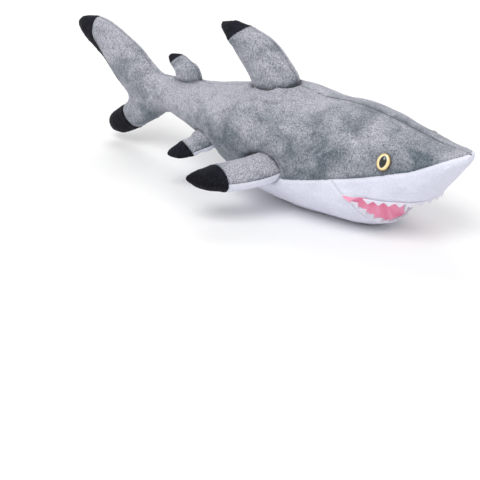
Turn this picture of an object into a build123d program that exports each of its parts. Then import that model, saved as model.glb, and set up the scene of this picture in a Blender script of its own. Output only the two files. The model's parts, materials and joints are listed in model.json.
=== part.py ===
from build123d import *
import math
import os

os.makedirs("parts", exist_ok=True)

# A stuffed plush shark. All sizes in millimetres.
# +X is the nose, +Y the shark's left and +Z up; the origin is on the floor, under the middle of the belly.

# Fabric and gaps
skin = 2.0  # thickness of the pile fabric
felt = 1.0  # thickness of the teeth strips
lining = 1.2  # thickness of the mouth lining
fibre_gap = 0.3  # between a skin and the stuffing in it
seam_gap = 0.4  # between two panels that are sewn together
joint_gap = 0.6  # between two bodies that bend against each other
reach = 400.0  # larger than the whole toy, for the blocks that divide it

# Body: (x, lowest z, highest z, full width)
egg_share = 0.08  # how much narrower the body is low down than high up
body_stations = [
    (-168, 38, 78, 24),
    (-147, 40, 77, 36),
    (-122, 44, 78, 48),
    (-97, 38, 80, 64),
    (-68, 29, 84.5, 82),
    (-44, 18, 90, 95),
    (-18, 4, 96.5, 104),
    (8, -1, 100, 107),
    (36, -1.5, 96.5, 106),
    (62, -1.5, 97.5, 101),
    (84, -1, 96.5, 94),
    (102, 3, 93.5, 86),
    (112, 8.5, 91.5, 80),
    (128, 23, 88, 71),
    (146, 34.5, 84, 59),
    (160, 43, 80, 45),
    (168.5, 49.5, 77.5, 33),
    (173.5, 56, 75.5, 21),
    (176, 61.5, 72, 10),
]

# Fins and lobes: (distance from the root, rear or lower edge, front or upper edge, thickness)
upper_lobe_stations = [
    (0, -16, 14, 34),
    (23, -24, 15, 31),
    (52, -24, 21.5, 27),
    (89, -13.5, 19.5, 23),
    (106, -11.5, 12.5, 18),
    (115, -7.5, 4, 11),
    (118, -5, -1, 5),
]
lower_lobe_stations = [
    (0, -15, 13, 28),
    (20, -15, 15, 26),
    (41, -12.5, 16, 24),
    (57, -11, 14.5, 20),
    (67.5, -8.5, 9, 14),
    (72.5, -5, 4, 7),
]
dorsal_stations = [
    (0, -25, 25, 32),
    (15, -32.5, 17, 29.5),
    (30, -41, 7, 27),
    (38, -46, -3, 24.5),
    (45, -50.5, -15.5, 20),
    (50, -51.5, -26, 14),
    (52.5, -48.5, -35, 6),
]
second_dorsal_stations = [
    (0, -15, 15, 15.5),
    (7, -18.5, 12, 15),
    (13, -22, 7, 14),
    (17.5, -22, 0, 11),
    (20, -18, -7, 5),
]
pectoral_stations = [
    (0, -19, 19, 27),
    (14, -25, 14, 26.5),
    (28, -34, 5, 26),
    (38, -41, -5, 22.5),
    (45, -44.5, -14.5, 17),
    (49, -42.5, -26, 9),
]
pelvic_stations = [
    (0, -12, 12, 18),
    (11, -18, 7.5, 18),
    (20, -24.5, -1, 16.5),
    (26, -27, -7, 12),
    (29, -25, -13.5, 6),
]


def direction(azimuth, rise):
    """Unit vector at azimuth degrees from +X towards +Y, rise degrees above level."""
    a = math.radians(azimuth)
    r = math.radians(rise)
    return (math.cos(a) * math.cos(r), math.sin(a) * math.cos(r), math.sin(r))


# Base planes: local x along the chord (to the front or the top), local y across, normal outwards.
# A fin's chord axis through its base plane's origin is also the line that it bends about.
body_base = Plane(origin=(0, 0, 0), x_dir=(0, 0, 1), z_dir=(1, 0, 0))
upper_lobe_base = Plane(origin=(-147, 0, 60), x_dir=direction(0, 65), z_dir=direction(180, 25))
lower_lobe_base = Plane(origin=(-157, 0, 48), x_dir=direction(0, -60.5), z_dir=direction(180, -29.5))
dorsal_base = Plane(origin=(-16, 0, 97.8), x_dir=direction(0, 13), z_dir=direction(180, 77))
second_dorsal_base = Plane(origin=(-115, 0, 80.2), x_dir=direction(0, 6), z_dir=direction(180, 84))
pectoral_base = Plane(origin=(12, -48, 42), x_dir=(1, 0, 0), z_dir=direction(-90, -7))
pelvic_base = Plane(origin=(-65, -31, 46), x_dir=(1, 0, 0), z_dir=direction(-90, -34))

# Where the body bends: x of the two upright bend lines, and the radius of the rounded end behind each
tail_bend_x = -96.0
tail_bend_radius = 33.0
caudal_bend_x = -154.0
caudal_bend_radius = 18.5

# Mouth: its fold in the XZ plane, and angles in degrees from +X at the fold
mouth_fold = (88.0, 37.0)
lip_angle = -3.0  # the upper lip
gum_angle = -54.0  # the open jaw's upper edge
throat_angle = -110.0  # the jaw's rear edge
throat_room = 7.0  # left behind the jaw, so that it can open further
fold_radius = 2.5  # rounding of the jaw at the fold
jaw_lift = 1.2  # the jaw's underside clears the floor

# Colour line between the grey sides and the white underside, in the XZ plane
snout_seam = (79, 49.5)  # where the seam from the mouth's corner reaches the colour line
colour_line = [(-136, 36), (-126, 45), (-97, 41.5), (-50, 32.5), (0, 35), (40, 40), snout_seam]
colour_line += [(111, 57.5), (133, 64), (160, 71), (185, 77)]

# Black tips: where the border meets a fin's front and rear edges, as (along the chord, from the root)
dorsal_border = [(-18, 46), (-43.5, 34)]
second_dorsal_border = [(-6, 19), (-21, 9.5)]
pectoral_border = [(-4, 37), (-37, 27)]
pelvic_border = [(-2, 20), (-23, 12)]
upper_lobe_border = [(17, 97), (-15, 80)]
lower_lobe_border = [(15.5, 32), (-12, 39)]
fork_height = 55.0  # between the two lobes

# Eyes: oval buttons with a shank through the fabric
eye_center = (119.5, -34.6, 70)
eye_turn = 17.0  # degrees that the eye looks forwards
eye_rise = 27.0  # degrees that it looks upwards
eye_width = 11.4
eye_height = 14.4
eye_steps = [(0.2, 1.0), (1.4, 0.93), (2.2, 0.68), (2.6, 0.35)]  # (height, share of the full size)
eye_room = 0.4  # free width round an eye where it presses into the fabric
pupil_width = 4.6
pupil_height = 9.4
pupil_depth = 0.9  # height of the pupil's seat
shank_radius = 2.2
shank_length = 14.0
washer_radius = 6.5
washer_seat = 3.3  # the washer's outer face, below the fabric's outside
washer_thickness = 1.5
fit_gap = 0.05

root_drop = 1.5  # how far a blade's foot reaches below its bend line
root_step = 0.8  # how much smaller a fin's round root is than the foot of its blade
flare_gap = 1.2  # free width round a blade where it enters the body
flare_angle = 16.0  # degrees that the room for a blade widens to each side

# Teeth and thread
lip_tooth_height = 3.4
gum_tooth_height = 6.0
corner_slope = 0.42  # teeth near the mouth's corner are at most this share of their distance from it
strip_height = 1.0
lip_outline = [(17, 38.4), (24, 35.9), (42, 24.2), (52, 14.7), (56.7, 0)]  # (from the fold, half width)
gum_outline = [(7, 38.5), (14, 35.5), (20, 31.5), (28, 23.5), (33.5, 13.5), (35.8, 0)]
lip_tooth_count = 15
gum_tooth_count = 13
tooth_overlap = 0.52  # half of a tooth's foot, as a share of the pitch
thread_radius = 0.15
thread_depth = 1.0  # the thread's middle, below the top of the back


def oval(center, half_height, half_width, egg=0.0):
    """Closed smooth outline round (center, 0); it starts at its top, so lofts don't twist."""
    points = []
    count = 12
    for i in range(count):
        turn = 2 * math.pi * i / count
        narrow = 1 + egg * math.cos(turn)
        points.append((center + half_height * math.cos(turn), half_width * math.sin(turn) * narrow))
    with BuildSketch(mode=Mode.PRIVATE) as outline:
        with BuildLine():
            Spline(*points, periodic=True)
        make_face()
    return outline.sketch


def oval_loft(base, stations, inset, egg=0.0):
    """Closed form through ovals, its sides and its far end moved in by inset."""
    last = stations[-1][0]
    end_zone = min(30.0, last * 0.8)
    with BuildPart() as form:
        for distance, low, high, thickness in stations:
            pull = inset * max(0.0, 1 - (last - distance) / end_zone)
            half_height = max((high - low) / 2 - inset, 1.0)
            half_width = max(thickness / 2 - inset, 1.0)
            with BuildSketch(base.offset(distance - pull)):
                add(oval((high + low) / 2, half_height, half_width, egg))
        loft()
    return form.part


def spheroid(base, half_chord, radius):
    """Oval turned round the chord axis: it keeps its place while a fin bends about that axis."""
    with BuildPart() as root:
        with BuildSketch(base):
            with BuildLine():
                EllipticalCenterArc((0, 0), half_chord, radius, start_angle=0, arc_size=180)
                Line((-half_chord, 0), (half_chord, 0))
            make_face()
        revolve(axis=Axis(base.origin, base.x_dir))
    return root.part


def fin_form(base, stations, inset):
    """A fin with a root that is round about its bend line."""
    foot = (-root_drop,) + stations[0][1:]
    blade = oval_loft(base, [foot] + stations[1:], inset)
    half_chord = (stations[0][2] - stations[0][1]) / 2 - inset - root_step
    root = spheroid(base, half_chord, stations[0][3] / 2 - inset - root_step)
    with BuildPart() as form:
        add(blade)
        add(root)
    return form.part


def whole_form(inset):
    """Body and tail fin in one form."""
    body = oval_loft(body_base, body_stations, inset, egg_share)
    upper = oval_loft(upper_lobe_base, upper_lobe_stations, inset)
    lower = oval_loft(lower_lobe_base, lower_lobe_stations, inset)
    with BuildPart() as form:
        add(body)
        add(upper)
        add(lower)
    return form.part


def half_space(plane):
    """Block on the side of plane that its normal points to."""
    with BuildPart() as block:
        with BuildSketch(plane):
            Rectangle(reach * 2, reach * 2)
        extrude(amount=reach)
    return block.part


def behind(bend_x, radius):
    """Everything behind an upright bend line, with a rounded front end."""
    with BuildPart() as region:
        with BuildSketch(Plane.XY.offset(-reach / 2)):
            with Locations((bend_x - reach / 2, 0)):
                Rectangle(reach, reach)
            with Locations((bend_x, 0)):
                Circle(radius)
        extrude(amount=reach)
    return region.part


def side_prism(points, smooth=0):
    """Outline in the XZ plane, cut through the whole width; its first smooth points are a curve."""
    with BuildPart() as region:
        with BuildSketch(Plane.XZ.offset(-reach / 2)):
            with BuildLine():
                if smooth:
                    curve = Spline(*points[:smooth])
                    Polyline(curve @ 1, *points[smooth:], curve @ 0)
                else:
                    Polyline(*points, points[0])
            make_face()
        extrude(amount=reach)
    return region.part


def under_colour_line(drop):
    """The white region, its upper limit lowered by drop."""
    line = [(x, z - drop) for x, z in colour_line]
    last = line[-1]
    corners = [(reach, last[1]), (reach, -reach), (-reach, -reach), (-reach, line[0][1])]
    return side_prism(line + corners, smooth=len(line))


def ray(angle, length, lift=0.0):
    """Point at length from the mouth's fold, at angle degrees from +X, moved sideways by lift."""
    a = math.radians(angle)
    along, up = (math.cos(a), math.sin(a)), (-math.sin(a), math.cos(a))
    return tuple(mouth_fold[i] + length * along[i] + lift * up[i] for i in range(2))


def open_mouth(raised):
    """Region in front of the trunk's lip and throat, its upper side raised into the head."""
    throat = throat_angle - throat_room
    lip = [ray(lip_angle, 0, raised), ray(lip_angle, 62, raised)]
    return side_prism(lip + [(170, 20), (170, -60), ray(throat, 80), ray(throat, 1)])


def jaw_region(lowered):
    """Region of the lower jaw, its upper side lowered from the gum line."""
    gum = [ray(gum_angle, fold_radius, -lowered), ray(gum_angle, 70, -lowered)]
    return side_prism(gum + [ray(throat_angle, 70), ray(throat_angle, fold_radius)])


def snout_region(moved):
    """Everything in front of the seam from the mouth's corner to the colour line, moved back."""
    points = [ray(-90, 10), mouth_fold, snout_seam, (snout_seam[0], reach), (reach, reach), (reach, 27)]
    return side_prism([(x - moved, z) for x, z in points])


def rod(base, radius, low, high):
    """Round bar on base's normal, between two heights."""
    with BuildPart() as bar:
        with BuildSketch(base.offset(low)):
            Circle(radius)
        extrude(amount=high - low)
    return bar.part


def write(piece, label):
    """Names one finished piece and writes it."""
    piece.part.label = label
    export_step(piece.part, f"parts/{label}.step")


def cut(form, keep=(), remove=()):
    """The part of form inside every region of keep and outside every region of remove."""
    with BuildPart() as piece:
        add(form)
        for region in keep:
            add(region, mode=Mode.INTERSECT)
        for region in remove:
            add(region, mode=Mode.SUBTRACT)
    return piece


def mirrored(piece):
    """The same piece on the other side of the toy."""
    with BuildPart() as other:
        mirror(piece.part, about=Plane.XZ)
    return other


def both_sides(form):
    """The form and its mirror image."""
    with BuildPart() as pair:
        add(form)
        mirror(about=Plane.XZ)
    return pair.part


def border_planes(base, border):
    """Planes at a black tip's border: the first looks to the tip, the second to the root."""
    (front, front_height), (rear, rear_height) = border
    origin = base.origin + base.x_dir * (front + rear) / 2 + base.z_dir * (front_height + rear_height) / 2
    along = (base.x_dir * (front - rear) + base.z_dir * (front_height - rear_height)).normalized()
    outward = along.cross(base.y_dir)
    if outward.dot(base.z_dir) < 0:
        outward = outward * -1
    tip_side = Plane(origin=origin + outward * seam_gap / 2, x_dir=along, z_dir=outward)
    root_side = Plane(origin=origin - outward * seam_gap / 2, x_dir=along, z_dir=outward * -1)
    return half_space(tip_side), half_space(root_side)


def fin_hollow(base, stations):
    """Room in the body for a fin's round root, widened outwards where its blade swings."""
    low, high, thickness = stations[0][1:]
    widening = math.tan(math.radians(flare_angle))
    flare = []
    for distance, rear, front, blade in [(-root_drop, low, high, thickness)] + stations[1:]:
        wide = blade + 2 * flare_gap + 2 * max(distance, 0) * widening
        flare.append((distance, rear - flare_gap, front + flare_gap, wide))
    with BuildPart() as room:
        add(spheroid(base, (high - low) / 2 + joint_gap, thickness / 2 + joint_gap))
        add(oval_loft(base, flare, 0))
    return room.part


def make_fin(base, stations, border, halves):
    """One stuffed fin: two skins, a black tip and its stuffing, as {kind: piece}."""
    outside = fin_form(base, stations, 0)
    inside = fin_form(base, stations, skin)
    hull = cut(outside, remove=[inside]).part
    tip_zone, root_zone = border_planes(base, border)
    pieces = {kind: cut(hull, keep=[root_zone, half]) for kind, half in halves.items()}
    pieces["tip"] = cut(hull, keep=[tip_zone])
    pieces["stuffing"] = cut(fin_form(base, stations, skin + fibre_gap))
    return pieces


def chord_halves(base, side_names):
    """The two sides of a fin's chord plane, each half a seam gap away from it."""
    sides = {}
    for name, sign in zip(side_names, (1, -1)):
        normal = base.y_dir * sign
        side = Plane(origin=base.origin + normal * seam_gap / 2, x_dir=base.x_dir, z_dir=normal)
        sides[name] = half_space(side)
    return sides


def make_teeth(gum, outline, count, tooth_height):
    """Felt zigzag that stands on the gum plane, along a curve given in that plane."""
    points = [(x, -y) for x, y in outline] + [(x, y) for x, y in reversed(outline[:-1])]
    with BuildLine(gum) as path:
        Spline(*points)
    curve = path.edges()[0]
    foot = curve.length / count * tooth_overlap
    with BuildPart() as strip:
        for i in range(count):
            share = (i + 0.5) / count
            along = curve.tangent_at(share)
            place = curve.position_at(share)
            height = min(tooth_height, (place - gum.origin).dot(gum.x_dir) * corner_slope)
            face = Plane(origin=place, x_dir=along, z_dir=along.cross(gum.z_dir))
            with BuildSketch(face.offset(-felt / 2)):
                with BuildLine():
                    Polyline(
                        (-foot, fit_gap),
                        (foot, fit_gap),
                        (foot, strip_height),
                        (0, strip_height + height),
                        (-foot, strip_height),
                        (-foot, fit_gap),
                    )
                make_face()
            extrude(amount=felt)
    return strip


# Forms of the whole toy: outside of the fabric, inside of the fabric, and stuffing
outer = whole_form(0)
inner = whole_form(skin)
core = whole_form(skin + fibre_gap)
shell = cut(outer, remove=[inner]).part

# Regions that divide it
floor = half_space(Plane(origin=(0, 0, 0), x_dir=(1, 0, 0), z_dir=(0, 0, -1)))
fibre_floor = half_space(Plane(origin=(0, 0, skin + fibre_gap), x_dir=(1, 0, 0), z_dir=(0, 0, -1)))
jaw_floor = half_space(Plane(origin=(0, 0, jaw_lift), x_dir=(1, 0, 0), z_dir=(0, 0, -1)))
right_half = half_space(Plane(origin=(0, -seam_gap / 2, 0), x_dir=(1, 0, 0), z_dir=(0, -1, 0)))
left_half = half_space(Plane(origin=(0, seam_gap / 2, 0), x_dir=(1, 0, 0), z_dir=(0, 1, 0)))
middle_right = half_space(Plane(origin=(0, 0, 0), x_dir=(1, 0, 0), z_dir=(0, -1, 0)))
rear_zone = behind(tail_bend_x, tail_bend_radius)
rear_zone_cut = behind(tail_bend_x, tail_bend_radius + joint_gap)
caudal_zone = behind(caudal_bend_x, caudal_bend_radius)
caudal_zone_cut = behind(caudal_bend_x, caudal_bend_radius + joint_gap)
white_zone = under_colour_line(seam_gap)
white_zone_cut = under_colour_line(0)
mouth = open_mouth(0)
mouth_cut = open_mouth(lining + fibre_gap)

# Hollows in the body that the fins' round roots turn in
dorsal_hollow = fin_hollow(dorsal_base, dorsal_stations)
second_dorsal_hollow = fin_hollow(second_dorsal_base, second_dorsal_stations)
pectoral_hollows = both_sides(fin_hollow(pectoral_base, pectoral_stations))
pelvic_hollows = both_sides(fin_hollow(pelvic_base, pelvic_stations))
trunk_hollows = [dorsal_hollow, pectoral_hollows, pelvic_hollows]

# Right eye's plane and the room that it needs in the head
eye_base = Plane(
    origin=eye_center,
    x_dir=direction(eye_turn, 0),
    z_dir=direction(eye_turn - 90, eye_rise),
)
eye_bores = both_sides(rod(eye_base, shank_radius + joint_gap, -shank_length - 1, 5))
washer_rooms = both_sides(rod(eye_base, washer_radius + joint_gap, -shank_length, -skin))
with BuildPart() as eye_dent:
    with BuildSketch(eye_base.offset(eye_steps[0][0] / 2)):
        add(oval(0, eye_width / 2 + eye_room, eye_height / 2 + eye_room))
    extrude(amount=5)
eye_dents = both_sides(eye_dent.part)


# ---- Trunk: head and body ----
skin_cuts = [rear_zone_cut, white_zone_cut, eye_bores, eye_dents] + trunk_hollows
trunk_skin_right = cut(shell, keep=[right_half], remove=skin_cuts)
write(trunk_skin_right, "trunk_skin_right")
write(mirrored(trunk_skin_right), "trunk_skin_left")

belly_cuts = [snout_region(seam_gap), rear_zone_cut, mouth, floor, pectoral_hollows]
belly_panel = cut(shell, keep=[white_zone], remove=belly_cuts)
write(belly_panel, "belly_panel")

snout_panel = cut(shell, keep=[white_zone, snout_region(0)], remove=[mouth])
write(snout_panel, "snout_panel")

write(cut(core, keep=[open_mouth(lining)], remove=[mouth]), "palate_lining")

trunk_core = cut(core, remove=[rear_zone_cut, mouth_cut, fibre_floor, eye_bores, washer_rooms])
for hollow in trunk_hollows:
    trunk_core = cut(trunk_core.part, remove=[hollow])
write(trunk_core, "trunk_stuffing")

lip_plane = Plane(
    origin=(mouth_fold[0], 0, mouth_fold[1]),
    x_dir=direction(0, lip_angle),
    z_dir=direction(0, lip_angle - 90),
)
write(make_teeth(lip_plane, lip_outline, lip_tooth_count, lip_tooth_height), "upper_teeth")

# ---- Eyes ----
with BuildPart() as eye_form:
    for height, share in eye_steps:
        with BuildSketch(eye_base.offset(height)):
            add(oval(0, eye_width / 2 * share, eye_height / 2 * share))
    loft()
with BuildPart() as pupil_seat:
    with BuildSketch(eye_base.offset(pupil_depth)):
        Ellipse(pupil_width / 2, pupil_height / 2)
    extrude(amount=5)
with BuildPart() as pupil_bar:
    with BuildSketch(eye_base.offset(pupil_depth + fit_gap)):
        Ellipse(pupil_width / 2 - fit_gap, pupil_height / 2 - fit_gap)
    extrude(amount=5)
with BuildPart() as eye_right:
    add(eye_form.part)
    add(pupil_seat.part, mode=Mode.SUBTRACT)
    add(rod(eye_base, shank_radius, -shank_length + 1, 0.6))
write(eye_right, "eye_right")
write(mirrored(eye_right), "eye_left")
pupil_right = cut(eye_form.part, keep=[pupil_bar.part])
write(pupil_right, "pupil_right")
write(mirrored(pupil_right), "pupil_left")

with BuildPart() as eye_washer_right:
    with BuildSketch(eye_base.offset(-washer_seat)):
        Circle(washer_radius)
        Circle(shank_radius + fit_gap, mode=Mode.SUBTRACT)
    extrude(amount=-washer_thickness)
write(eye_washer_right, "eye_washer_right")
write(mirrored(eye_washer_right), "eye_washer_left")

# ---- Thread in the seam along the back, from the nose to the dorsal fin ----
back_points = [(x, 0, high - thread_depth) for x, low, high, width in body_stations if 14 < x < 172]
with BuildPart() as back_seam_thread:
    with BuildLine() as back:
        Spline(*back_points)
    with BuildSketch(Plane(origin=back.line @ 0, z_dir=back.line % 0)):
        RegularPolygon(thread_radius, 6)
    sweep()
write(back_seam_thread, "back_seam_thread")

# ---- Lower jaw ----
jaw = jaw_region(0)
write(cut(shell, keep=[jaw], remove=[jaw_floor]), "jaw_panel")
write(cut(core, keep=[jaw], remove=[jaw_region(lining)]), "mouth_floor_lining")
write(cut(core, keep=[jaw_region(lining + fibre_gap)], remove=[fibre_floor]), "jaw_stuffing")
gum_plane = Plane(
    origin=(mouth_fold[0], 0, mouth_fold[1]),
    x_dir=direction(0, gum_angle),
    z_dir=direction(0, gum_angle + 90),
)
write(make_teeth(gum_plane, gum_outline, gum_tooth_count, gum_tooth_height), "lower_teeth")

# ---- Rear body ----
rear_cuts = [caudal_zone_cut, white_zone_cut, second_dorsal_hollow]
tail_skin_right = cut(shell, keep=[rear_zone, right_half], remove=rear_cuts)
write(tail_skin_right, "tail_skin_right")
write(mirrored(tail_skin_right), "tail_skin_left")
write(cut(shell, keep=[rear_zone, white_zone], remove=[caudal_zone_cut]), "tail_belly_panel")
write(cut(core, keep=[rear_zone], remove=[caudal_zone_cut, second_dorsal_hollow]), "tail_stuffing")

# ---- Tail fin ----
upper_tip, upper_root = border_planes(upper_lobe_base, upper_lobe_border)
lower_tip, lower_root = border_planes(lower_lobe_base, lower_lobe_border)
under_fork = half_space(Plane(origin=(0, 0, fork_height), x_dir=(1, 0, 0), z_dir=(0, 0, -1)))
lower_end = cut(under_fork, remove=[lower_root]).part
caudal_hull = cut(shell, keep=[caudal_zone]).part
caudal_skin_right = cut(caudal_hull, keep=[right_half, upper_root], remove=[lower_end])
write(caudal_skin_right, "caudal_skin_right")
write(mirrored(caudal_skin_right), "caudal_skin_left")
write(cut(caudal_hull, keep=[upper_tip]), "caudal_tip_upper")
write(cut(caudal_hull, keep=[lower_tip, under_fork]), "caudal_tip_lower")
caudal_core_half = cut(core, keep=[caudal_zone, inner, middle_right])
write(cut(both_sides(caudal_core_half.part)), "caudal_stuffing")

# ---- Fins on the back ----
back_halves = {"skin_right": right_half, "skin_left": left_half}
for kind, piece in make_fin(dorsal_base, dorsal_stations, dorsal_border, back_halves).items():
    write(piece, f"dorsal_{kind}")
for kind, piece in make_fin(
    second_dorsal_base, second_dorsal_stations, second_dorsal_border, back_halves
).items():
    write(piece, f"second_dorsal_{kind}")

# ---- Paired fins ----
pectoral_halves = chord_halves(pectoral_base, ("top", "bottom"))
for kind, piece in make_fin(pectoral_base, pectoral_stations, pectoral_border, pectoral_halves).items():
    write(piece, f"pectoral_{kind}_right")
    write(mirrored(piece), f"pectoral_{kind}_left")
pelvic_halves = chord_halves(pelvic_base, ("top", "bottom"))
for kind, piece in make_fin(pelvic_base, pelvic_stations, pelvic_border, pelvic_halves).items():
    write(piece, f"pelvic_{kind}_right")
    write(mirrored(piece), f"pelvic_{kind}_left")
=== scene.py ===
"""A stuffed plush shark: its sewn fabric, felt teeth and eyes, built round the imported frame."""

import json
import math

import bmesh
import bpy
import numpy as np
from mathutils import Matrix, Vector, noise
from mathutils.bvhtree import BVHTree


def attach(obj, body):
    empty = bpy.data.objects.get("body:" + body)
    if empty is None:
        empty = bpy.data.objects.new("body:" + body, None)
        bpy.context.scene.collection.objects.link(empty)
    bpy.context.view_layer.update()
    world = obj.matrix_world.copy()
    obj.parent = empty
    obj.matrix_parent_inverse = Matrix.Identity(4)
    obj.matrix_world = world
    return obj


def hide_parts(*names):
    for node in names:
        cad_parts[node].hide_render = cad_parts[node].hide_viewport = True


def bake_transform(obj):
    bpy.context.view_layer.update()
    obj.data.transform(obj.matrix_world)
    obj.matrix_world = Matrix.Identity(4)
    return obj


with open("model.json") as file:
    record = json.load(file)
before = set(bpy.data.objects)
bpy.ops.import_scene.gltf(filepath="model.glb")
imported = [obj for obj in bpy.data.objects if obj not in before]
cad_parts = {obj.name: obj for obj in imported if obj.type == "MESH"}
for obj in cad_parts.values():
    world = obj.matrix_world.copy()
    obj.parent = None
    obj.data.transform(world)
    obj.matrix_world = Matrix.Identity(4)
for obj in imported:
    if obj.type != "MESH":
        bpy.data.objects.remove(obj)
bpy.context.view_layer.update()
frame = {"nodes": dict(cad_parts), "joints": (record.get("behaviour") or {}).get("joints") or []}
nodes = frame["nodes"]
joints = {joint["name"]: joint for joint in frame["joints"]}
MM = 0.001

# ---- Sizes, in metres ----
BODY_VOXEL = 4.5 * MM  # mesh that the body's fabric is inflated on
FIN_VOXEL = 3.0 * MM
SMALL_FIN_VOXEL = 2.2 * MM
FELT_VOXEL = 0.45 * MM
FABRIC = 1.2 * MM  # thickness of the shown fabric
STUFF_PULL = 1.3 * MM  # how far the sewing pattern is smaller than the stuffed form
STUFF_CAP = 3.2 * MM  # how far the stuffing may push the fabric out
SEAM_DEPTH = 0.8 * MM
SEAM_WIDTH = 2.0 * MM
FUZZ = 0.22 * MM  # unevenness of the pile
LUMP = 0.9 * MM  # unevenness of the stuffing
CREASE_WIDTH = 2.2 * MM  # of the painted shade in the crease round a fin's root
LIP_TURN = 0.3 * MM  # how far the white fabric turns round the lip before the lining starts
BEND_REACH = 24 * MM  # length of body that a bend spreads over, each way
TRUNK_SPLIT_X = 12 * MM  # the belly's front and rear cloths meet here, under the pectoral fins
BAND_WIDTH = 15 * MM  # of the black band where it leaves the tail's upper tip
BAND_FOOT = 10 * MM  # its width at the fork
SNOUT_START = 135 * MM  # in front of this the snout's underside is raised towards its top
SNOUT_FULL = 168 * MM  # from here to the nose it is raised by the full share
SNOUT_LIFT = 0.41  # share of the snout's height that its underside is raised by
NOSE_RISE = 5 * MM  # how much the nose itself is raised
TAIL_SPLIT_X = -125 * MM  # the fabric over the tail's two bends meets here
FORK_Z = 55 * MM  # height between the tail's two lobes
JAW_TURNS = (3.0, 6.5)  # degrees: the jaw is copied at these turns too, which fills the room behind it
PLUG_HEIGHT = 4.5 * MM  # how far a filling of a fin's hollow reaches past the line that the fin bends about
PLUG_SCALE = 1.13  # size of such a filling against the stuffing in the fin's root
CREASE_NEAR = 45 * MM  # a fin's painted crease shade lies within this distance of its joint
CREASE_REACH = 8 * MM  # farther than this from a fin there is no painted crease shade
MOUTH_EDGE = 4 * MM  # fabric nearer than this to the mouth keeps its place in the cloth simulation

# Eyes
EYE_HALF_WIDTH = 5.7 * MM
EYE_HALF_HEIGHT = 7.2 * MM
EYE_DOME = 2.3 * MM
BUTTON_DEPTH = 3.1 * MM  # an eye's CAD button without its shank
PUPIL_HALF_WIDTH = 3.0 * MM
PUPIL_HALF_HEIGHT = 5.0 * MM
PUPIL_DOME = 1.3 * MM
PUPIL_RISE = 1.5 * MM  # of the pupil's base above the eye's
PUPIL_LEAN = 0.04  # how much the pupil leans along the shark

hinge = Vector(joints["jaw_hinge"]["pos_m"])
tail_bend = Vector(joints["tail_bend"]["pos_m"])
caudal_bend = Vector(joints["caudal_sway"]["pos_m"])


# ---- Meshes from the frame ----
def points_of(mesh):
    flat = np.empty(len(mesh.vertices) * 3)
    mesh.vertices.foreach_get("co", flat)
    return flat.reshape(-1, 3)


def normals_of(mesh):
    flat = np.empty(len(mesh.vertices) * 3)
    mesh.vertices.foreach_get("normal", flat)
    return flat.reshape(-1, 3)


def set_points(mesh, points):
    mesh.vertices.foreach_set("co", np.asarray(points, np.float32).ravel())
    mesh.update()


def new_object(name, mesh):
    obj = bpy.data.objects.new(name, mesh)
    bpy.context.scene.collection.objects.link(obj)
    return obj


def joined(name, names, turned=()):
    """Copies of CAD nodes as one mesh; turned holds (names, turn about the jaw's hinge in degrees)."""
    bm = bmesh.new()
    for node in names:
        bm.from_mesh(nodes[node].data)
    for group, degrees in turned:
        turn = np.radians(degrees)
        for node in group:
            first = len(bm.verts)
            bm.from_mesh(nodes[node].data)
            bm.verts.ensure_lookup_table()
            for vert in bm.verts[first:]:
                x, z = vert.co.x - hinge.x, vert.co.z - hinge.z
                vert.co.x = hinge.x + x * math.cos(turn) + z * math.sin(turn)
                vert.co.z = max(hinge.z - x * math.sin(turn) + z * math.cos(turn), 0.0)
    mesh = bpy.data.meshes.new(name)
    bm.to_mesh(mesh)
    bm.free()
    return new_object(name, mesh)


def apply_modifiers(obj):
    """Replaces the object's mesh by what its modifiers make of it."""
    graph = bpy.context.evaluated_depsgraph_get()
    mesh = bpy.data.meshes.new_from_object(obj.evaluated_get(graph))
    obj.modifiers.clear()
    obj.data = mesh
    return obj


def remesh(obj, voxel):
    modifier = obj.modifiers.new("Remesh", "REMESH")
    modifier.mode = "VOXEL"
    modifier.voxel_size = voxel
    apply_modifiers(obj)
    keep_largest_island(obj.data)
    return obj


def keep_largest_island(mesh):
    """Drops what a remesh leaves loose inside a form."""
    bm = bmesh.new()
    bm.from_mesh(mesh)
    left = set(bm.verts)
    islands = []
    while left:
        start = left.pop()
        island = {start}
        queue = [start]
        while queue:
            for edge in queue.pop().link_edges:
                for vert in edge.verts:
                    if vert in left:
                        left.discard(vert)
                        island.add(vert)
                        queue.append(vert)
        islands.append(island)
    islands.sort(key=len)
    for island in islands[:-1]:
        bmesh.ops.delete(bm, geom=list(island), context="VERTS")
    bm.to_mesh(mesh)
    bm.free()


def smooth(obj, factor, repeat):
    modifier = obj.modifiers.new("Smooth", "SMOOTH")
    modifier.factor = factor
    modifier.iterations = repeat
    return apply_modifiers(obj)


def subdivide(obj, levels):
    modifier = obj.modifiers.new("Subdivision", "SUBSURF")
    modifier.levels = levels
    modifier.render_levels = levels
    return apply_modifiers(obj)


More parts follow.
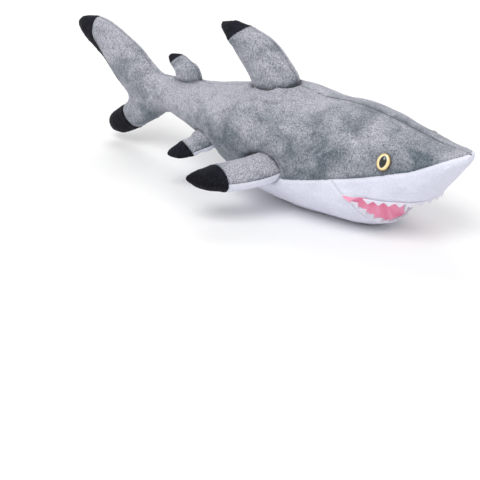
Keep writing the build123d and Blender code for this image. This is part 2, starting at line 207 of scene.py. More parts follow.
def inflate(obj, held, frames=20):
    """Sews the fabric a little small, then lets cloth simulation stuff it; held is 1 where it stays in place."""
    mesh = obj.data
    start = points_of(mesh)
    normals = normals_of(mesh)
    free = 1 - held[:, None]
    pattern = start - normals * STUFF_PULL * free
    set_points(mesh, pattern)
    group = obj.vertex_groups.new(name="held")
    for index, weight in enumerate(held):
        group.add([index], float(weight), "REPLACE")
    cloth = obj.modifiers.new("Cloth", "CLOTH")
    cloth.settings.quality = 5
    cloth.settings.mass = 0.3
    cloth.settings.tension_stiffness = 10
    cloth.settings.compression_stiffness = 10
    cloth.settings.bending_stiffness = 0.4
    cloth.settings.use_pressure = True
    cloth.settings.uniform_pressure_force = 4.0
    cloth.settings.vertex_group_mass = "held"
    cloth.settings.effector_weights.gravity = 0
    cloth.point_cache.frame_start = 1
    cloth.point_cache.frame_end = frames
    for step in range(1, frames + 1):
        bpy.context.scene.frame_set(step)
    apply_modifiers(obj)
    bpy.context.scene.frame_set(1)
    mesh = obj.data
    push = points_of(mesh) - pattern
    size = np.linalg.norm(push, axis=1, keepdims=True)
    push *= np.minimum(1, STUFF_CAP / np.maximum(size, 1e-9))
    set_points(mesh, pattern + push)


# ---- Lines that the fabric is cut along, found in the frame ----
def touching(first, second, reach):
    """Points of the first nodes that lie within reach of the second nodes."""
    bm = bmesh.new()
    for node in second:
        bm.from_mesh(nodes[node].data)
    tree = BVHTree.FromBMesh(bm)
    bm.free()
    found = []
    for node in first:
        for vert in nodes[node].data.vertices:
            if tree.find_nearest(vert.co, reach)[0] is not None:
                found.append(vert.co[:])
    return np.array(found)


def border_plane(tip, skins):
    """The plane between a tip and the skins it's sewn to, as (point, normal towards the tip)."""
    border = touching([tip], skins, 0.45 * MM)
    middle = border.mean(axis=0)
    normal = np.linalg.svd(border - middle, full_matrices=False)[2][2]
    if normal @ (points_of(nodes[tip].data).mean(axis=0) - middle) < 0:
        normal = -normal
    return middle, normal


def colour_line():
    """Height of the line between grey and white, as sorted (x, z)."""
    white = ["belly_panel", "snout_panel", "tail_belly_panel"]
    grey = ["trunk_skin_right", "trunk_skin_left", "tail_skin_right", "tail_skin_left"]
    border = touching(white, grey, 0.6 * MM)
    border = border[np.abs(border[:, 1]) > 6 * MM]
    x = np.round(border[:, 0] / (3 * MM)) * 3 * MM
    steps = np.unique(x)
    height = np.array([border[x == step, 2].mean() for step in steps])
    return steps, height


line_x, line_z = colour_line()


def line_height(x):
    return np.interp(x, line_x, line_z)


def cut(bm, point, normal, inside=None):
    """Cuts new edges along a plane, in the faces whose middle inside accepts."""
    faces = [face for face in bm.faces if inside is None or inside(face.calc_center_median())]
    edges = {edge for face in faces for edge in face.edges}
    verts = {vert for face in faces for vert in face.verts}
    geom = faces + list(edges) + list(verts)
    bmesh.ops.bisect_plane(bm, geom=geom, dist=1e-6, plane_co=point, plane_no=normal)


def cut_colour_line(bm):
    """Cuts along the colour line by making it level, cutting level, and putting the height back."""
    for vert in bm.verts:
        vert.co.z -= line_height(vert.co.x)
    cut(bm, (0, 0, 0), (0, 0, 1), lambda c: abs(c.z) < 10 * MM and line_x[0] < c.x)
    for vert in bm.verts:
        vert.co.z += line_height(vert.co.x)


# ---- Cloth pieces ----
def centers_of(mesh):
    flat = np.empty(len(mesh.polygons) * 3)
    mesh.polygons.foreach_get("center", flat)
    return flat.reshape(-1, 3)


def uneven(points, seed):
    """Height of stuffing lumps and pile at each point."""
    offset = Vector((seed * 3.1, seed * 1.7, 0))
    heights = np.empty(len(points))
    for i, point in enumerate(points):
        p = Vector(point)
        lump = noise.noise(p / (30 * MM) + offset) + 0.45 * noise.noise(p / (13 * MM) + offset)
        pile = noise.noise(p / (1.6 * MM) + offset)
        heights[i] = LUMP * lump + FUZZ * pile
    return heights


def sheet(name, whole, chosen, seam, body, material, replaced, thickness=FABRIC):
    """A cloth piece with thickness, from the chosen faces of a whole form."""
    points = points_of(whole)
    normals = normals_of(whole)
    faces = [whole.polygons[i].vertices[:] for i in np.nonzero(chosen)[0]]
    used = sorted({v for face in faces for v in face})
    place = {v: i for i, v in enumerate(used)}
    count = len(used)
    outer = [tuple(place[v] for v in face) for face in faces]
    sides = {}
    for face in outer:
        for a, b in zip(face, face[1:] + face[:1]):
            sides[(a, b)] = True
    rim = [(a, b) for a, b in sides if (b, a) not in sides]
    inner = [tuple(v + count for v in reversed(face)) for face in outer]
    walls = [(b, a, a + count, b + count) for a, b in rim]
    top = points[used]
    across = normals[used]
    mesh = bpy.data.meshes.new(name)
    mesh.from_pydata(np.vstack([top, top - across * thickness]).tolist(), [], outer + inner + walls)
    mesh.update()
    mesh.polygons.foreach_set("use_smooth", [True] * len(mesh.polygons))
    # The seam attribute carries seam darkness and, on the body, painted shade in the fins' root creases.
    attribute = mesh.attributes.new("seam", "FLOAT", "POINT")
    attribute.data.foreach_set("value", np.tile(seam[used], 2).astype(np.float32))
    mesh.normals_split_custom_set_from_vertices(np.vstack([across, -across]).tolist())
    piece = new_object(name, mesh)
    mesh.materials.append(material)
    if isinstance(body, str):
        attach(piece, body)
    else:
        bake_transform(piece)
    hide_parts(*replaced)
    return piece


# ---- Materials ----
class Nodes:
    """Short ways to build one material's nodes."""

    def __init__(self, name):
        self.material = bpy.data.materials.new(name)
        self.material.use_nodes = True
        self.tree = self.material.node_tree
        self.surface = self.tree.nodes["Principled BSDF"]
        self.place = self.new("ShaderNodeTexCoord").outputs["Object"]

    def new(self, kind, **values):
        node = self.tree.nodes.new(kind)
        for key, value in values.items():
            setattr(node, key, value)
        return node

    def link(self, source, target):
        if hasattr(source, "is_output"):
            self.tree.links.new(source, target)
        else:
            target.default_value = source

    def noise(self, size, detail=2.0, roughness=0.5, stretch=(1, 1, 1), distortion=0.0):
        """Noise whose features are size metres wide."""
        mapping = self.new("ShaderNodeMapping")
        mapping.inputs["Scale"].default_value = [s / size for s in stretch]
        self.link(self.place, mapping.inputs["Vector"])
        texture = self.new("ShaderNodeTexNoise")
        texture.inputs["Scale"].default_value = 1.0
        texture.inputs["Detail"].default_value = detail
        texture.inputs["Roughness"].default_value = roughness
        texture.inputs["Distortion"].default_value = distortion
        self.link(mapping.outputs["Vector"], texture.inputs["Vector"])
        return texture.outputs["Fac"]

    def math(self, operation, a, b=0.0):
        node = self.new("ShaderNodeMath", operation=operation)
        self.link(a, node.inputs[0])
        self.link(b, node.inputs[1])
        return node.outputs[0]

    def ramp(self, value, *stops):
        node = self.new("ShaderNodeValToRGB")
        elements = node.color_ramp.elements
        while len(elements) < len(stops):
            elements.new(0.5)
        for element, (position, colour) in zip(elements, stops):
            element.position = position
            element.color = (*colour, 1)
        self.link(value, node.inputs["Fac"])
        return node.outputs["Color"]

    def mix(self, share, first, second, kind="MIX"):
        node = self.new("ShaderNodeMix", data_type="RGBA", blend_type=kind)
        self.link(share, node.inputs["Factor"])
        self.link(first, node.inputs["A"])
        self.link(second, node.inputs["B"])
        return node.outputs["Result"]

    def bump(self, height, strength, distance):
        node = self.new("ShaderNodeBump")
        node.inputs["Strength"].default_value = strength
        node.inputs["Distance"].default_value = distance
        self.link(height, node.inputs["Height"])
        self.link(node.outputs["Normal"], self.surface.inputs["Normal"])


def plush(name, dark, light, sheen=0.5, grain=0.4, seam_and_shade_dark=0.45, patchy=1.0):
    """Short pile: patches of pile brushed light or dark, fine streaks of pile, painted light that makes tops
    lighter and the front darker, and darker seams with painted shade in the creases round fin roots.
    """
    n = Nodes(name)
    patches = n.noise(50 * MM, 2, 0.5, distortion=0.7)
    brushed = n.noise(15 * MM, 3, 0.55, stretch=(0.7, 1, 1), distortion=0.9)
    # Painted light: the colour is made lighter where the surface faces up, as on a top lit from above.
    upwards = n.new("ShaderNodeSeparateXYZ")
    n.link(n.new("ShaderNodeNewGeometry").outputs["Normal"], upwards.inputs[0])
    nap_and_painted_light = n.math("ADD", n.math("MULTIPLY", patches, 0.55), n.math("MULTIPLY", brushed, 0.45))
    nap_and_painted_light = n.math("ADD", nap_and_painted_light, n.math("MULTIPLY", upwards.outputs["Z"], 0.13))
    # Painted shade: the colour gets darker towards the front (the head) and lighter towards the tail, following
    # how the light falls.
    along = n.new("ShaderNodeSeparateXYZ")
    n.link(n.place, along.inputs[0])
    nap_and_painted_light = n.math("ADD", nap_and_painted_light, n.math("MULTIPLY", along.outputs["X"], -0.35))
    # The ramp turns random pile patches plus this painted light into colour.
    nap_and_light_colour = n.ramp(nap_and_painted_light, (0.5 - 0.10 / patchy, dark), (0.5 + 0.14 / patchy, light))
    streaks = n.noise(1.7 * MM, 2, 0.7, stretch=(1.3, 1.3, 0.5), distortion=0.4)
    speckle = n.noise(1.0 * MM, 1, 0.5)
    pile = n.math("ADD", n.math("MULTIPLY", streaks, 0.5), n.math("MULTIPLY", speckle, 0.5))
    shade = n.ramp(pile, (0.39, (1 - grain,) * 3), (0.63, (1 + grain,) * 3))
    colour = n.mix(1.0, nap_and_light_colour, shade, "MULTIPLY")
    # Darkens towards the seam colour: dark seams, and on the body also painted shade in the fins' root creases.
    seam = n.new("ShaderNodeAttribute", attribute_name="seam").outputs["Fac"]
    seam_and_shade_colour = (dark[0] * 0.4, dark[1] * 0.4, dark[2] * 0.4, 1)
    colour = n.mix(n.math("MULTIPLY", seam, seam_and_shade_dark), colour, seam_and_shade_colour)
    n.link(colour, n.surface.inputs["Base Color"])
    n.surface.inputs["Roughness"].default_value = 0.95
    n.surface.inputs["Specular IOR Level"].default_value = 0.12
    n.surface.inputs["Sheen Weight"].default_value = sheen
    n.surface.inputs["Sheen Roughness"].default_value = 0.4
    n.surface.inputs["Sheen Tint"].default_value = (0.93, 0.92, 1.0, 1)
    n.bump(n.math("ADD", pile, n.math("MULTIPLY", brushed, 0.5)), 0.7, 0.9 * MM)
    return n.material


def flat_cloth(name, dark, light, sheen=0.2, bounce=None, painted_glow=0.0):
    """Smooth lining or felt; bounce is the colour of light it gives off, painted_glow is emission that paints
    light onto it, making it lighter in shade.
    """
    n = Nodes(name)
    fibres = n.noise(0.5 * MM, 3, 0.7)
    clouds = n.noise(9 * MM, 2, 0.5)
    blend = n.math("ADD", n.math("MULTIPLY", fibres, 0.5), n.math("MULTIPLY", clouds, 0.5))
    colour = n.ramp(blend, (0.4, dark), (0.6, light))
    if bounce:
        seen = n.new("ShaderNodeLightPath").outputs["Is Camera Ray"]
        colour = n.mix(seen, (*bounce, 1), colour)
    n.link(colour, n.surface.inputs["Base Color"])
    n.surface.inputs["Roughness"].default_value = 0.85
    n.surface.inputs["Specular IOR Level"].default_value = 0.2
    n.surface.inputs["Sheen Weight"].default_value = sheen
    # Emission gives painted light: with painted_glow above 0 the cloth looks lighter in shade, though it is no
    # lamp.
    n.link(colour, n.surface.inputs["Emission Color"])
    n.surface.inputs["Emission Strength"].default_value = painted_glow
    n.bump(fibres, 0.4, 0.25 * MM)
    return n.material


def eye_gloss(name, eye_center, across, upwards, half_width, half_height):
    """Printed eye under clear gloss: pale iris, a bright ring painted in as a highlight, golden edge."""
    n = Nodes(name)
    offset = n.new("ShaderNodeVectorMath", operation="SUBTRACT")
    n.link(n.place, offset.inputs[0])
    offset.inputs[1].default_value = eye_center
    axes = []
    for direction, half in ((across, half_width), (upwards, half_height)):
        dot = n.new("ShaderNodeVectorMath", operation="DOT_PRODUCT")
        n.link(offset.outputs["Vector"], dot.inputs[0])
        dot.inputs[1].default_value = direction / half
        axes.append(dot.outputs["Value"])
    square = n.math("ADD", n.math("MULTIPLY", axes[0], axes[0]), n.math("MULTIPLY", axes[1], axes[1]))
    radius = n.math("SQRT", square)
    grain = n.math("MULTIPLY", n.math("SUBTRACT", n.noise(1.4 * MM, 2), 0.5), 0.08)
    # Radial colour: the palest stop, a bright ring round the pupil, is a painted highlight; the rest is the
    # printed iris and its golden, dark-lined edge.
    stops = ((0.0, (0.62, 0.40, 0.14)), (0.50, (0.82, 0.62, 0.28)), (0.66, (0.90, 0.80, 0.50)))
    stops += ((0.82, (0.80, 0.62, 0.26)), (0.90, (0.36, 0.20, 0.05)), (0.97, (0.06, 0.035, 0.02)))
    n.link(n.ramp(n.math("ADD", radius, grain), *stops), n.surface.inputs["Base Color"])
    n.surface.inputs["Roughness"].default_value = 0.18
    n.surface.inputs["Coat Weight"].default_value = 1.0
    n.surface.inputs["Coat Roughness"].default_value = 0.05
    n.bump(n.noise(2.5 * MM, 2), 0.04, 0.2 * MM)
    return n.material


def plastic(name, colour, roughness):
    n = Nodes(name)
    shade = n.ramp(n.noise(3 * MM, 2), (0.3, colour), (0.7, tuple(c * 1.25 for c in colour)))
    n.link(shade, n.surface.inputs["Base Color"])
    n.surface.inputs["Roughness"].default_value = roughness
    n.surface.inputs["Coat Weight"].default_value = 1.0
    n.surface.inputs["Coat Roughness"].default_value = 0.06
    n.bump(n.noise(1.5 * MM, 2), 0.03, 0.1 * MM)
    return n.material


grey = plush("grey_plush", (0.118, 0.142, 0.166), (0.385, 0.390, 0.440))
white = plush("white_plush", (0.70, 0.71, 0.82), (0.80, 0.81, 0.92), sheen=0.2, grain=0.05, seam_and_shade_dark=0.3)
black = plush("black_plush", (0.006, 0.006, 0.009), (0.013, 0.013, 0.020), sheen=0.06, grain=0.5)
# The mouth lining gets painted light from emission, so it looks lighter in the mouth's shade.
lining = flat_cloth(
    "mouth_lining", (0.78, 0.21, 0.34), (0.92, 0.38, 0.54), bounce=(0.8, 0.7, 0.74), painted_glow=0.17
)
felt = flat_cloth("white_felt", (0.66, 0.64, 0.73), (0.78, 0.76, 0.85))
grey_thread = flat_cloth("grey_thread", (0.10, 0.11, 0.125), (0.16, 0.17, 0.19))


# ---- Body: the head, trunk and tail as one stuffed form ----
def side_skins(prefix):
    return [f"{prefix}_right", f"{prefix}_left"]


def fin_skins(fin, side):
    """Names of a fin's two skins; side is empty for a fin on the back."""
    return [f"{fin}_top_{side}", f"{fin}_bottom_{side}"] if side else side_skins(f"{fin}_skin")


def fin_node(fin, kind, side):
    return f"{fin}_{kind}_{side}" if side else f"{fin}_{kind}"


fins = [
    ("dorsal", "dorsal_sway", ""),
    ("second_dorsal", "second_dorsal_sway", ""),
    ("pectoral", "pectoral_flap_right", "right"),
    ("pectoral", "pectoral_flap_left", "left"),
    ("pelvic", "pelvic_flap_right", "right"),
    ("pelvic", "pelvic_flap_left", "left"),
]
jaw_nodes = ["jaw_panel", "jaw_stuffing", "mouth_floor_lining"]
trunk_nodes = side_skins("trunk_skin") + ["belly_panel", "snout_panel", "trunk_stuffing", "palate_lining"]
tail_nodes = side_skins("tail_skin") + ["tail_belly_panel", "tail_stuffing"]
caudal_nodes = side_skins("caudal_skin") + ["caudal_tip_upper", "caudal_tip_lower", "caudal_stuffing"]


def radial(direction, point):
    """Signed distance of points above the line from the mouth's fold, in the XZ plane."""
    return (point[:, 2] - hinge.z) * direction[0] - (point[:, 0] - hinge.x) * direction[1]


def plane_under(node, facing):
    """The flat side of a lining node as a direction in the XZ plane from the fold."""
    mesh = nodes[node].data
    total = Vector()
    for face in mesh.polygons:
        if abs(face.normal.y) < 0.01 and face.normal.dot(facing) > 0.9:
            total += face.normal * face.area
    total.normalize()
    return (total.z, -total.x) if total.z > 0 else (-total.z, total.x)


lip_way = plane_under("palate_lining", Vector((-0.05, 0, -1)))
gum_way = plane_under("mouth_floor_lining", Vector((0.81, 0, 0.59)))


def fin_plugs():
    """Rounded fillings for the hollows that the fins turn in."""
    bm = bmesh.new()
    for fin, joint, side in fins:
        axis = Vector(joints[joint]["axis"]).normalized()
        centre = Vector(joints[joint]["pos_m"])
        mesh = nodes[fin_node(fin, "stuffing", side)].data
        part = bmesh.new()
        part.from_mesh(mesh)
        middle = Vector(points_of(mesh).mean(axis=0))
        outwards = (middle - centre) - axis * (middle - centre).dot(axis)
        outwards.normalize()
        cut_part = bmesh.ops.bisect_plane(
            part, geom=part.verts[:] + part.edges[:] + part.faces[:],
            plane_co=centre + outwards * PLUG_HEIGHT, plane_no=outwards, clear_outer=True,
        )
        rim = [e for e in cut_part["geom_cut"] if isinstance(e, bmesh.types.BMEdge)]
        bmesh.ops.holes_fill(part, edges=rim)
        for vert in part.verts:
            vert.co = centre + (vert.co - centre) * PLUG_SCALE
        scrap = bpy.data.meshes.new("plug")
        part.to_mesh(scrap)
        part.free()
        bm.from_mesh(scrap)
    mesh = bpy.data.meshes.new("plugs")
    bm.to_mesh(mesh)
    bm.free()
    return mesh


def root_crease_shade(points):
    """How deep in the crease round a fin's root each point lies, from 0 to 1; it darkens the colour there as
    painted shade.
    """
    crease = np.zeros(len(points))
    for fin, joint, side in fins:
        verts, faces = [], []
        for skin in fin_skins(fin, side):
            mesh = nodes[skin].data
            faces += [[i + len(verts) for i in face.vertices] for face in mesh.polygons]
            verts += [tuple(v.co) for v in mesh.vertices]
        tree = BVHTree.FromPolygons(verts, faces)
        near = np.linalg.norm(points - np.array(joints[joint]["pos_m"]), axis=1) < CREASE_NEAR
        for i in np.flatnonzero(near):
            far = tree.find_nearest(Vector(points[i]), CREASE_REACH)[3]
            if far is not None:
                crease[i] = max(crease[i], math.exp(-((far / CREASE_WIDTH) ** 2)))
    return crease


def body_seams(points):
    """Distance of each point from the nearest seam of the body, in metres."""
    x, y, z = points.T
    grey_side = z > line_height(x)
    middle = np.where(grey_side | (x < line_x[0]), np.abs(y), 1.0)
    side = np.where(x > line_x[0], np.abs(z - line_height(x)), 1.0)
    far = np.minimum(middle, side)
    for centre, normal, lower, upper in (*tip_planes, snout_plane):
        near = (z > lower(x)) & (z < upper(x))
        far = np.minimum(far, np.where(near, np.abs((points - centre) @ normal), 1.0))
    return far


def make_body():
    """The whole body as one form: all its nodes grown together, then stuffed."""
    form = joined(
        "body_form",
        trunk_nodes + tail_nodes + caudal_nodes + jaw_nodes,
        turned=[(jaw_nodes, turn) for turn in JAW_TURNS],
    )
    bm = bmesh.new()
    bm.from_mesh(form.data)
    bm.from_mesh(fin_plugs())
    bm.to_mesh(form.data)
    bm.free()
    remesh(form, BODY_VOXEL)
    smooth(form, 0.5, 2)
    points = points_of(form.data)
    in_mouth = (radial(lip_way, points) < MOUTH_EDGE) & (radial(gum_way, points) > -MOUTH_EDGE)
    in_mouth &= points[:, 0] > hinge.x - MOUTH_EDGE
    seams = body_seams(points)
    held = np.clip(1.3 - seams / (4 * MM), 0, 1)
    held = np.maximum(held, in_mouth)
    held = np.maximum(held, points[:, 2] < 3 * MM)
    inflate(form, held)
    subdivide(form, 2)
    return form


def lifted_snout(points):
    """The points with the snout's underside raised, more and more up to the nose."""
    cloth = points_of(nodes["trunk_skin_right"].data)
    nose = cloth[:, 0].max()
    steps = np.linspace(SNOUT_START, nose - 2 * MM, 14)
    top = [cloth[np.abs(cloth[:, 0] - x) < 3 * MM, 2].max() for x in steps]
    ahead = np.maximum(points[:, 0] - SNOUT_START, 0)
    share = SNOUT_LIFT * np.minimum(ahead / (SNOUT_FULL - SNOUT_START), 1) ** 2
    room = np.maximum(np.interp(points[:, 0], steps, top) - points[:, 2], 0)
    raised = points.copy()
    raised[:, 2] += room * share + NOSE_RISE * (ahead / (nose - SNOUT_START)) ** 2
    return raised


def always(value):
    """A limit in height that is the same at every x."""
    return lambda x: np.full(np.shape(x), value)


upper_plane = border_plane("caudal_tip_upper", side_skins("caudal_skin"))
lower_plane = border_plane("caudal_tip_lower", side_skins("caudal_skin"))
tip_planes = [
    (*upper_plane, always(FORK_Z), always(1.0)),
    (*lower_plane, always(-1.0), always(FORK_Z)),
]
snout_plane = (*border_plane("snout_panel", ["belly_panel"]), always(hinge.z), line_height)


def trailing_band():
    """The plane that leaves a thin black band along the upper lobe's rear edge, down to the fork."""
    tip = points_of(nodes["caudal_tip_upper"].data)
    at_border = tip[np.abs((tip - upper_plane[0]) @ upper_plane[1]) < 0.6 * MM]
    lobe = points_of(nodes["caudal_skin_right"].data)
    near_fork = lobe[np.abs(lobe[:, 2] - FORK_Z - 4 * MM) < 3 * MM]
    top = at_border[at_border[:, 2].argmin()] + np.array([BAND_WIDTH, 0, 0])
    low = near_fork[near_fork[:, 0].argmin()] + np.array([BAND_FOOT, 0, 0])
    along = (top - low) / np.linalg.norm(top - low)
    normal = np.array([-along[2], 0, along[0]])
    normal /= np.linalg.norm(normal)
    return low, normal if normal[0] < 0 else -normal


body_form = make_body()
band_plane = trailing_band()
bm = bmesh.new()
bm.from_mesh(body_form.data)
cut(bm, (0, 0, 0), (0, 1, 0))
cut_colour_line(bm)
cut(bm, upper_plane[0], upper_plane[1], lambda c: c.z > FORK_Z and c.x < caudal_bend.x)
cut(bm, lower_plane[0], lower_plane[1], lambda c: c.z < FORK_Z and c.x < caudal_bend.x)
cut(bm, band_plane[0], band_plane[1], lambda c: c.z > FORK_Z and c.x < caudal_bend.x)
cut(bm, *snout_plane[:2], lambda c: hinge.z - MM < c.z < line_height(c.x) and c.x > hinge.x - 30 * MM)
lip_normal = Vector((-lip_way[1], 0, lip_way[0]))
gum_normal = Vector((-gum_way[1], 0, gum_way[0]))
for point, normal, height in (
    (hinge + lip_normal * LIP_TURN, lip_normal, 8 * MM),
    (hinge - gum_normal * LIP_TURN, gum_normal, 4 * MM),
):
    cut(bm, point, normal, lambda c: c.x > hinge.x - 4 * MM and c.z < hinge.z + height)
cut(bm, (TRUNK_SPLIT_X, 0, 0), (1, 0, 0))
cut(bm, (TAIL_SPLIT_X, 0, 0), (1, 0, 0))
bm.to_mesh(body_form.data)
bm.free()

whole = body_form.data
points = points_of(whole)
seam_far = body_seams(points)
groove = np.exp(-((seam_far / SEAM_WIDTH) ** 2))
in_mouth = (radial(lip_way, points) < LIP_TURN + 1e-6) & (radial(gum_way, points) > -LIP_TURN - 1e-6)
in_mouth &= points[:, 0] > hinge.x - 3 * MM
groove[in_mouth] = 0
shift = uneven(points, 1) * np.where(in_mouth, 0.15, 1.0) * np.clip(points[:, 2] / (6 * MM), 0.1, 1)
set_points(whole, points + normals_of(whole) * (shift - SEAM_DEPTH * groove)[:, None])
points = points_of(whole)
points[:, 2] = np.maximum(points[:, 2], 0.0)
set_points(whole, points)
# The body's seam attribute holds dark seams plus painted shade in the creases round the fins' roots.
seam_and_crease_shade = np.maximum(np.exp(-((seam_far / (0.9 * MM)) ** 2)), root_crease_shade(points))
seam_and_crease_shade[in_mouth] = 0

centre = centers_of(whole)
cx, cy, cz = centre.T
mouth = (radial(lip_way, centre) < LIP_TURN) & (radial(gum_way, centre) > -LIP_TURN)
mouth &= cx > hinge.x - 3 * MM
upper_tip = (centre - upper_plane[0]) @ upper_plane[1] > 0
upper_tip |= (centre - band_plane[0]) @ band_plane[1] > 0
upper_tip &= (cz > FORK_Z) & (cx < caudal_bend.x)
lower_tip = ((centre - lower_plane[0]) @ lower_plane[1] > 0) & (cz < FORK_Z) & (cx < caudal_bend.x)
tips = upper_tip | lower_tip
white_side = (cz < line_height(cx)) & (cx > line_x[0]) & ~mouth
grey_side = ~white_side & ~mouth & ~tips
snout = white_side & ((centre - snout_plane[0]) @ snout_plane[1] > 0) & (radial(lip_way, centre) > -2 * MM)
snout &= cx > hinge.x - 12 * MM
belly = white_side & ~snout
in_tail = cx < TAIL_SPLIT_X

set_points(whole, lifted_snout(points_of(whole)))

tail_reach = Vector((BEND_REACH, 0, 0))
tail_blend = ("trunk", "rear_body", tail_bend + tail_reach, tail_bend - tail_reach)
caudal_reach = Vector((18 * MM, 0, 0))
caudal_blend = ("rear_body", "caudal_fin", caudal_bend + caudal_reach, caudal_bend - caudal_reach)
jaw_blend = ("trunk", "lower_jaw", hinge, hinge + Vector((14 * MM, 0, -14 * MM)))

for side, half in (("right", cy < 0), ("left", cy >= 0)):
    sheet(
        f"side_cloth_{side}", whole, grey_side & half & ~in_tail, seam_and_crease_shade, tail_blend,
        grey, [f"trunk_skin_{side}", "trunk_stuffing"],
    )
    sheet(
        f"tail_cloth_{side}", whole, grey_side & half & in_tail, seam_and_crease_shade, caudal_blend,
        grey, [f"tail_skin_{side}", f"caudal_skin_{side}", "tail_stuffing", "caudal_stuffing"],
    )
sheet("snout_cloth", whole, snout, seam_and_crease_shade, "trunk", white, ["snout_panel"])
front = cx > TRUNK_SPLIT_X
sheet(
    "belly_cloth", whole, belly & front, seam_and_crease_shade, jaw_blend, white,
    ["belly_panel", "jaw_panel"],
)
sheet(
    "rear_belly_cloth", whole, belly & ~front & ~in_tail, seam_and_crease_shade, tail_blend, white,
    ["belly_panel"],
)
sheet(
    "tail_belly_cloth", whole, belly & in_tail, seam_and_crease_shade, caudal_blend, white,
    ["tail_belly_panel"],
)
for end, chosen in (("upper", upper_tip), ("lower", lower_tip)):
    sheet(
        f"tail_tip_{end}", whole, chosen, seam_and_crease_shade, "caudal_fin", black,
        [f"caudal_tip_{end}"],
    )
roof = mouth & (np.abs(radial(lip_way, centre)) < np.abs(radial(gum_way, centre)))
sheet("palate_cloth", whole, roof, seam_and_crease_shade, "trunk", lining, ["palate_lining"])
sheet(
    "mouth_floor_cloth", whole, mouth & ~roof, seam_and_crease_shade, jaw_blend, lining,
    ["mouth_floor_lining", "jaw_stuffing"],
)
bpy.data.objects.remove(body_form)


# ---- Fins ----
def make_fin(fin, joint, side, seed):
    """One fin: two skins sewn along its edge, with a black tip."""
    skins = fin_skins(fin, side)
    tip = fin_node(fin, "tip", side)
    stuffing = fin_node(fin, "stuffing", side)
    body = joints[joint]["child"]
    form = joined(f"{fin}_form", skins + [tip, stuffing])
    remesh(form, SMALL_FIN_VOXEL if fin in ("second_dorsal", "pelvic") else FIN_VOXEL)
    smooth(form, 0.4, 1)
    border = border_plane(tip, skins)
    chord = border_plane(skins[0], [skins[1]])
    points = points_of(form.data)
    root = Vector(joints[joint]["pos_m"])
    edge_far = np.abs((points - chord[0]) @ chord[1])
    tip_far = np.abs((points - border[0]) @ border[1])
    held = np.clip(1.2 - np.minimum(edge_far, tip_far) / (3 * MM), 0, 1)
    near_root = np.linalg.norm(points - np.array(root), axis=1) < 14 * MM
    inflate(form, np.maximum(held, near_root), frames=12)
    subdivide(form, 2)
    bm = bmesh.new()
    bm.from_mesh(form.data)
    cut(bm, border[0], border[1])
    cut(bm, chord[0], chord[1])
    bm.to_mesh(form.data)
    bm.free()
    whole = form.data
    points = points_of(whole)
    edge_far = np.abs((points - chord[0]) @ chord[1])
    edge_far[(points - border[0]) @ border[1] > 0] = 1.0
    tip_far = np.abs((points - border[0]) @ border[1])
    far = np.minimum(edge_far, tip_far)
    groove = np.exp(-((far / (1.5 * MM)) ** 2))
    shift = 0.7 * uneven(points, seed) - 0.7 * SEAM_DEPTH * groove
    set_points(whole, points + normals_of(whole) * shift[:, None])
    seam = np.exp(-((far / (0.8 * MM)) ** 2))
    centre = centers_of(whole)
    at_tip = (centre - border[0]) @ border[1] > 0
    first = (centre - chord[0]) @ chord[1] > 0
    colours = (("grey_plush", grey), ("white_plush", white) if side else ("grey_plush", grey))
    for skin, chosen, (slot, material) in zip(skins, (first, ~first), colours):
        sheet(f"{skin}_cloth", whole, chosen & ~at_tip, seam, body, material, [skin, stuffing])
    sheet(f"{tip}_cloth", whole, at_tip, seam, body, black, [tip])
    bpy.data.objects.remove(form)


for seed, (fin, joint, side) in enumerate(fins):
    make_fin(fin, joint, side, seed + 2)


# ---- Teeth ----
def make_felt(name, node, body, forwards, upwards, out, sunk):
    """Felt teeth, moved out to the rim of the stuffed lip and sunk into it."""
    form = joined(name, [node])
    voxels = form.modifiers.new("Remesh", "REMESH")
    voxels.mode = "VOXEL"
    voxels.voxel_size = FELT_VOXEL
    apply_modifiers(form)
    smooth(form, 0.5, 2)
    points = points_of(form.data)
    wobble = np.array([noise.noise(Vector(p) / (2.2 * MM)) for p in points])
    ahead = (points - np.array(hinge)) @ np.array(forwards) - 10 * MM
    rim_way = ahead[:, None] * np.array(forwards) + points[:, 1:2] * np.array([0, 1, 0])
    rim_way /= np.maximum(np.linalg.norm(rim_way, axis=1), MM)[:, None]
    shift = rim_way * out - np.array(upwards) * sunk
    points = points + shift + normals_of(form.data) * (wobble * 0.12 * MM)[:, None]
    set_points(form.data, lifted_snout(points))
    form.data.polygons.foreach_set("use_smooth", [True] * len(form.data.polygons))
    form.data.materials.append(felt)
    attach(form, body)
    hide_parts(node)


lip_direction = Vector((lip_way[0], 0, lip_way[1]))
gum_direction = Vector((gum_way[0], 0, gum_way[1]))
make_felt("upper_teeth_felt", "upper_teeth", "trunk", lip_direction, -lip_normal, 1.8 * MM, 2.4 * MM)
make_felt("lower_teeth_felt", "lower_teeth", "lower_jaw", gum_direction, gum_normal, 0.6 * MM, -0.6 * MM)


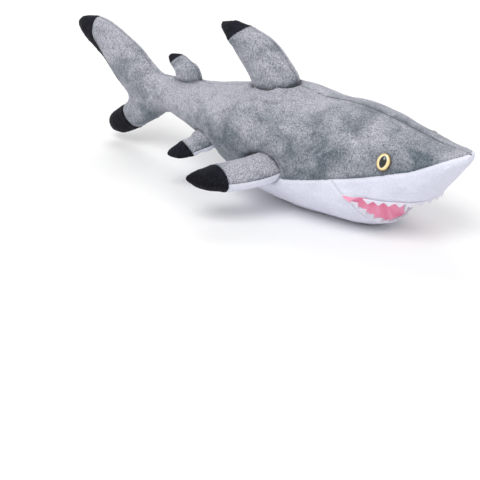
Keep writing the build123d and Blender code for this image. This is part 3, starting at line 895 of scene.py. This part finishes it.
# ---- Eyes ----
def dome(name, middle, across, upwards, outwards, half_width, half_height, height, pointed=0.0):
    """Smooth oval dome on a plane, closed underneath; pointed narrows its two ends."""
    rings, turns = 14, 56
    verts = [middle + outwards * height]
    for ring in range(1, rings + 1):
        share = ring / rings
        rise = height * (1 - share**2) ** 0.5
        for step in range(turns):
            angle = 2 * math.pi * step / turns
            sine = math.sin(angle)
            narrow = 1 - pointed * sine * sine
            offset = across * (half_width * share * math.cos(angle) * narrow)
            offset += upwards * (half_height * share * sine)
            verts.append(middle + offset + outwards * rise)
    verts.append(middle - outwards * 1.5 * MM)
    faces = [(0, 1 + i, 1 + (i + 1) % turns) for i in range(turns)]
    for ring in range(rings - 1):
        for i in range(turns):
            a, b = 1 + ring * turns + i, 1 + ring * turns + (i + 1) % turns
            faces.append((a, a + turns, b + turns, b))
    last = 1 + (rings - 1) * turns
    faces += [(len(verts) - 1, last + (i + 1) % turns, last + i) for i in range(turns)]
    mesh = bpy.data.meshes.new(name)
    mesh.from_pydata(verts, [], faces)
    mesh.update()
    bm = bmesh.new()
    bm.from_mesh(mesh)
    bmesh.ops.recalc_face_normals(bm, faces=bm.faces)
    bm.to_mesh(mesh)
    bm.free()
    mesh.polygons.foreach_set("use_smooth", [True] * len(mesh.polygons))
    piece = new_object(name, mesh)
    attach(piece, "trunk")
    return piece


def eye_axes(side):
    """Centre and directions of an eye, from its washer's flat face and its button's box."""
    washer = points_of(nodes[f"eye_washer_{side}"].data)
    button = points_of(nodes[f"eye_{side}"].data)
    normal = np.linalg.svd(washer - washer.mean(axis=0), full_matrices=False)[2][2]
    if normal @ (button.mean(axis=0) - washer.mean(axis=0)) < 0:
        normal = -normal
    outwards = Vector(normal)
    front = button[button @ normal > (button @ normal).max() - BUTTON_DEPTH]
    middle = Vector(front.mean(axis=0))
    middle += outwards * ((front @ normal).min() - middle.dot(outwards))
    across = (Vector((1, 0, 0)) - outwards * outwards.x).normalized()
    upwards = outwards.cross(across).normalized()
    if upwards.z < 0:
        upwards = -upwards
    return middle, across, upwards, outwards


black_gloss = plastic("black_gloss", (0.004, 0.004, 0.006), 0.12)
for side in ("right", "left"):
    middle, across, upwards, outwards = eye_axes(side)
    button = dome(
        f"eye_dome_{side}", middle, across, upwards, outwards, EYE_HALF_WIDTH, EYE_HALF_HEIGHT, EYE_DOME
    )
    gloss = eye_gloss(f"eye_gloss_{side}", middle, across, upwards, EYE_HALF_WIDTH, EYE_HALF_HEIGHT)
    button.data.materials.append(gloss)
    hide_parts(f"eye_{side}", f"eye_washer_{side}")
    lean = (across * PUPIL_LEAN + upwards).normalized()
    level = outwards.cross(lean).normalized()
    if level.dot(across) < 0:
        level = -level
    pupil = dome(
        f"pupil_dome_{side}", middle + outwards * PUPIL_RISE, level, lean, outwards,
        PUPIL_HALF_WIDTH, PUPIL_HALF_HEIGHT, PUPIL_DOME, pointed=0.12,
    )
    pupil.data.materials.append(black_gloss)
    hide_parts(f"pupil_{side}")

# ---- The back seam's thread stays as it is in the frame ----
thread = nodes["back_seam_thread"]
thread.data.materials.clear()
thread.data.materials.append(grey_thread)


# ---- Stage, light and camera ----
def plain(name, colour):
    n = Nodes(name)
    n.link(n.ramp(n.noise(0.4, 1), (0, colour), (1, colour)), n.surface.inputs["Base Color"])
    n.surface.inputs["Roughness"].default_value = 0.9
    return n.material


floor_mesh = bpy.data.meshes.new("floor")
floor_mesh.from_pydata([(-6, -6, 0), (6, -6, 0), (6, 6, 0), (-6, 6, 0)], [], [(0, 1, 2, 3)])
floor = new_object("floor", floor_mesh)
floor_mesh.materials.append(plain("pale_floor", (0.9, 0.9, 0.9)))

world = bpy.data.worlds.new("studio")
bpy.context.scene.world = world
world.use_nodes = True
world.node_tree.nodes["Background"].inputs["Color"].default_value = (1, 1, 1, 1)
world.node_tree.nodes["Background"].inputs["Strength"].default_value = 0.68


def soft_light(name, place, power, size):
    data = bpy.data.lights.new(name, "AREA")
    data.energy = power
    data.size = size
    light = bpy.data.objects.new(name, data)
    bpy.context.scene.collection.objects.link(light)
    light.location = place
    light.rotation_euler = (Vector((0, 0, 0.05)) - Vector(place)).to_track_quat("-Z", "Y").to_euler()


soft_light("key", (0.3, -0.9, 1.5), 16, 1.0)
soft_light("back", (-0.8, 0.8, 1.2), 7, 0.9)

TARGET = Vector((-0.0096, 0, 0.0576))
AZIMUTH, ELEVATION, DISTANCE = math.radians(40), math.radians(20), 1.152
FOCAL_WIDTHS = 2.874  # focal length in picture widths
OFF_CENTRE = (0.0875, 0.2333)  # where the target is seen, in picture widths

back = Vector(
    (math.sin(AZIMUTH) * math.cos(ELEVATION), -math.cos(AZIMUTH) * math.cos(ELEVATION), math.sin(ELEVATION))
)
camera_data = bpy.data.cameras.new("camera")
camera = bpy.data.objects.new("camera", camera_data)
bpy.context.scene.collection.objects.link(camera)
camera_data.sensor_width = 36
camera_data.lens = 36 * FOCAL_WIDTHS
camera_data.clip_start = 0.05
camera_data.clip_end = 50
camera.location = TARGET + back * DISTANCE
straight = (-back).to_track_quat("-Z", "Y").to_matrix()
seen = Vector((OFF_CENTRE[0], OFF_CENTRE[1], -FOCAL_WIDTHS)).normalized()
aim = seen.rotation_difference(Vector((0, 0, -1))).to_matrix()
camera.rotation_euler = (straight @ aim).to_euler()
bpy.context.scene.camera = camera
bpy.context.scene.view_settings.view_transform = "Standard"
